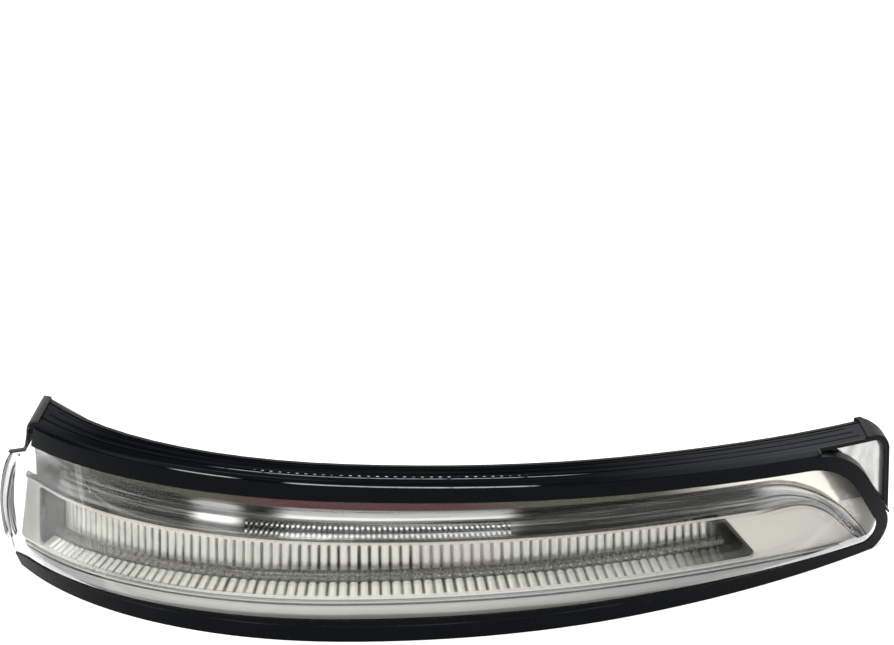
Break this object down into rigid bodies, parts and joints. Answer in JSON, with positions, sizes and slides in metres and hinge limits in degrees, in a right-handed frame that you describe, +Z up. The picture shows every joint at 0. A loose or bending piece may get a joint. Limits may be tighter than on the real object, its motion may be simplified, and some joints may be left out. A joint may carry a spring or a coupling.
{
  "type": "mirror turn signal lamp",
  "caption": "Curved side-mirror turn signal lamp: clear crowned lens, black edge seal, bright bezel, fluted reflector and light guide in a closed black housing with tabs and socket.",
  "frame": {"origin": "on the flat lower face, 8 mm straight behind the nose, which is the most forward point of the lower edge", "axes": "+X along the lamp to the viewer's right, +Y from the lit face into the mirror, +Z up"},
  "size_m": [0.2469, 0.091, 0.0443],
  "materials": {
    "clear_lens": "clear moulded acrylic, polished",
    "black_rubber": "smooth black",
    "black_plastic": "fine moulded grain",
    "bright_plating": "vacuum plated",
    "flute_plating": "satin plated",
    "guide_clear": "clear moulded acrylic",
    "board_green": "solder mask",
    "led_white": "silicone dome",
    "chip_black": "moulded package",
    "capacitor_brown": "ceramic body",
    "link_amber": "polyimide film",
    "terminal_brass": "tinned",
    "seal_rubber": "soft",
    "screw_steel": "zinc plated",
    "foam_grey": "open foam"
  },
  "bodies": {
    "root": {"outer_lens": "clear_lens", "edge_seal": "black_rubber", "housing": "black_plastic", "bezel": "bright_plating", "flute_reflector": "flute_plating", "light_guide": "guide_clear", "board_left": "board_green", "board_centre": "board_green", "board_right": "board_green", "leds_left": "led_white", "leds_centre": "led_white", "leds_right": "led_white", "driver_chip": "chip_black", "diode": "chip_black", "capacitor": "capacitor_brown", "resistors": "chip_black", "board_links": "link_amber", "terminals": "terminal_brass", "socket_seal": "seal_rubber", "vent_plug": "seal_rubber", "board_screws": "screw_steel", "bezel_screws": "screw_steel", "foam_pads": "foam_grey"}
  },
  "joints": []
}
